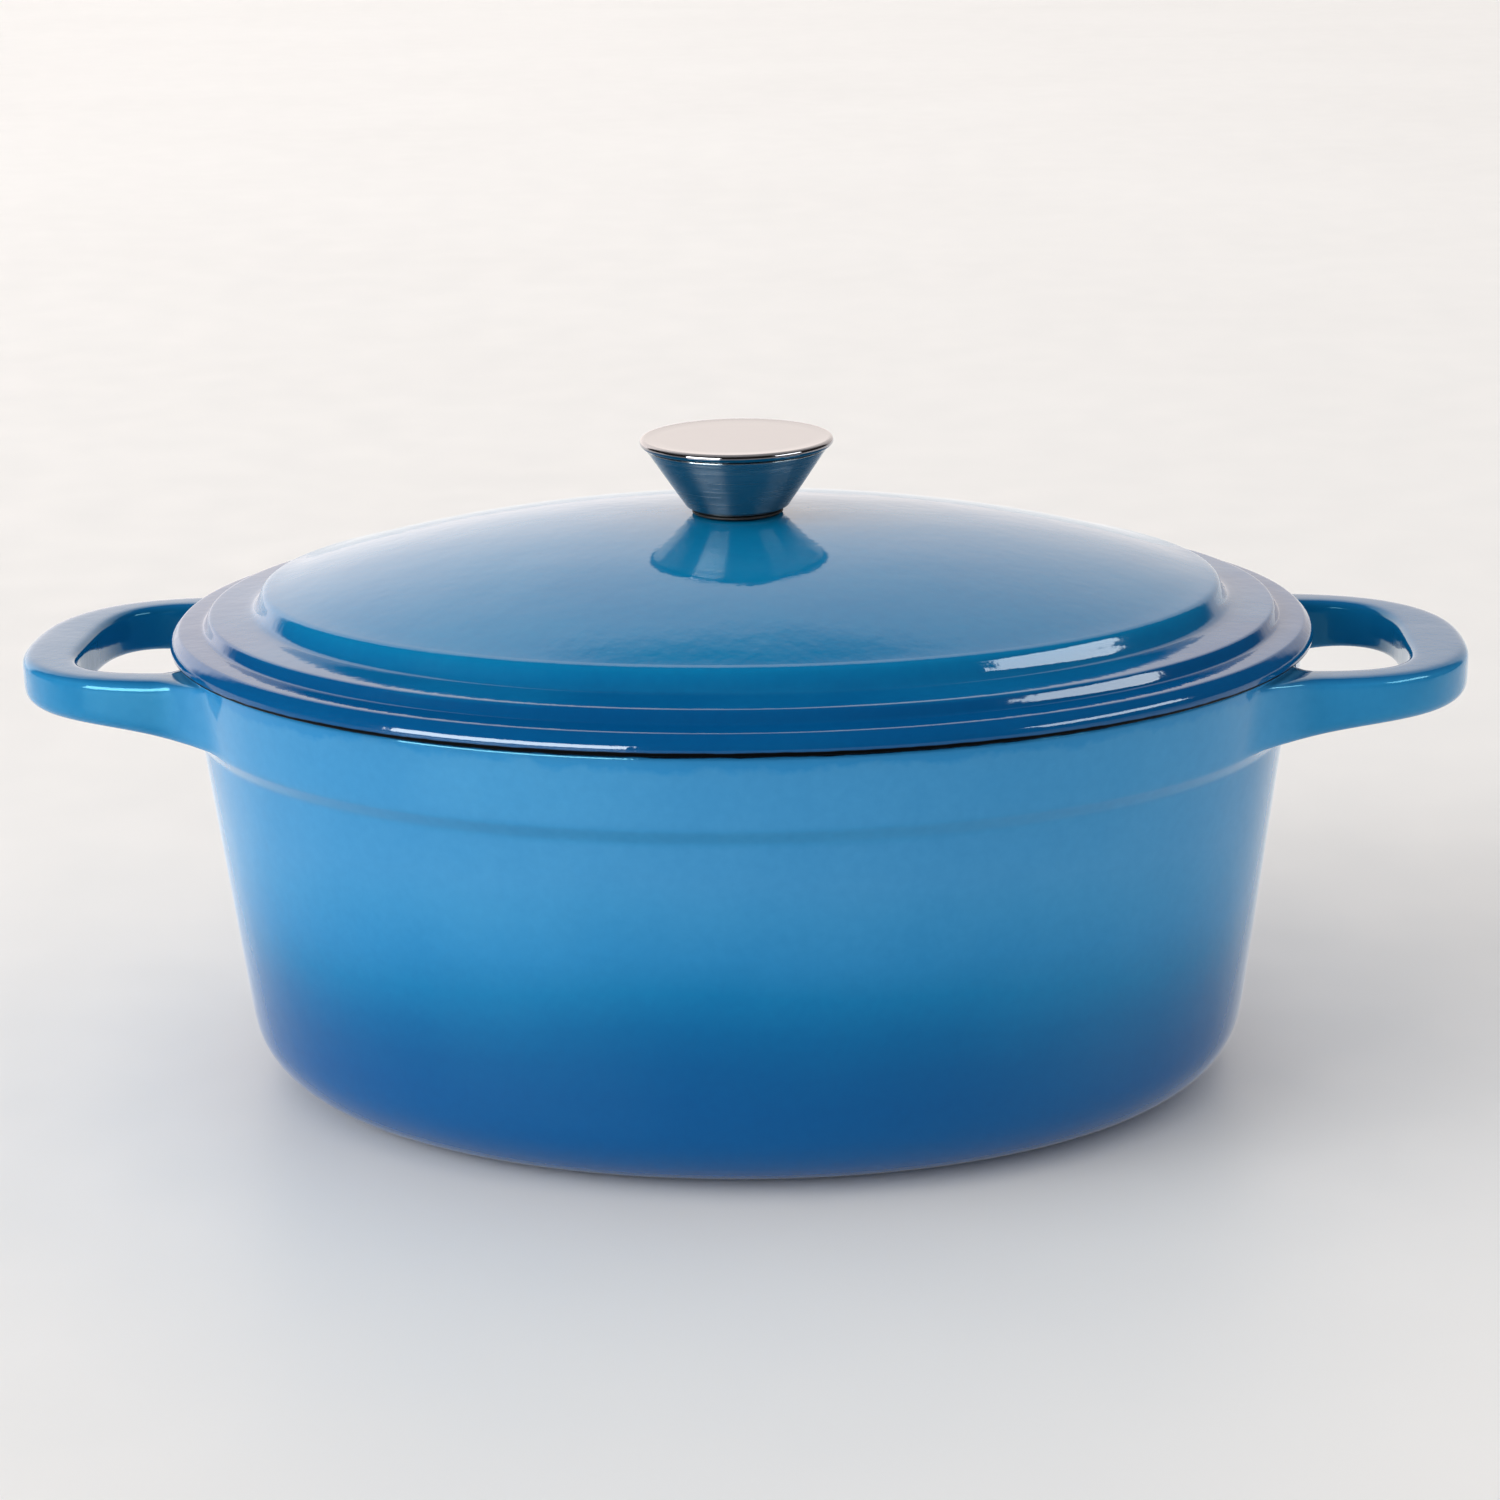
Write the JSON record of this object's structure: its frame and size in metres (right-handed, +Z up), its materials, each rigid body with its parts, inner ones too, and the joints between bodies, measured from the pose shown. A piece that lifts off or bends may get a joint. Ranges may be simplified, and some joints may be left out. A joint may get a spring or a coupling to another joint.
{
  "type": "covered casserole dish",
  "caption": "Covered oval casserole dish in enamelled cast iron, with a loop handle cast in at each end and a lift-off domed lid that carries a conical stainless steel knob.",
  "frame": {"origin": "centre of the dish's flat base, on the surface it stands on", "axes": "+X along the length, through the two handles; +Z up, the way the lid lifts; +Y across the dish"},
  "size_m": [0.375, 0.2354, 0.169],
  "materials": {
    "dish_enamel": "glossy enamel over cast iron, pale blue at the rim and the handles, shading to deep blue at the foot, with a matt black enamelled inside and rim",
    "lid_enamel": "glossy blue enamel over cast iron, matt black enamel underneath",
    "brushed_stainless": "satin, brushed round the cone",
    "polished_stainless": "mirror polish",
    "plated_steel": "plain zinc plating",
    "silicone": "matt"
  },
  "bodies": {
    "dish": {"dish_body": "dish_enamel"},
    "lid": {"lid": "lid_enamel", "knob_cone": "brushed_stainless", "knob_cap": "polished_stainless", "knob_gasket": "silicone", "knob_insert": "plated_steel", "knob_screw": "plated_steel", "screw_washer": "plated_steel"}
  },
  "joints": [
    {"name": "lid_lift", "type": "slide", "parent": "dish", "child": "lid", "axis": [0, 0, 1], "range_m": [0, 0.1]}
  ]
}
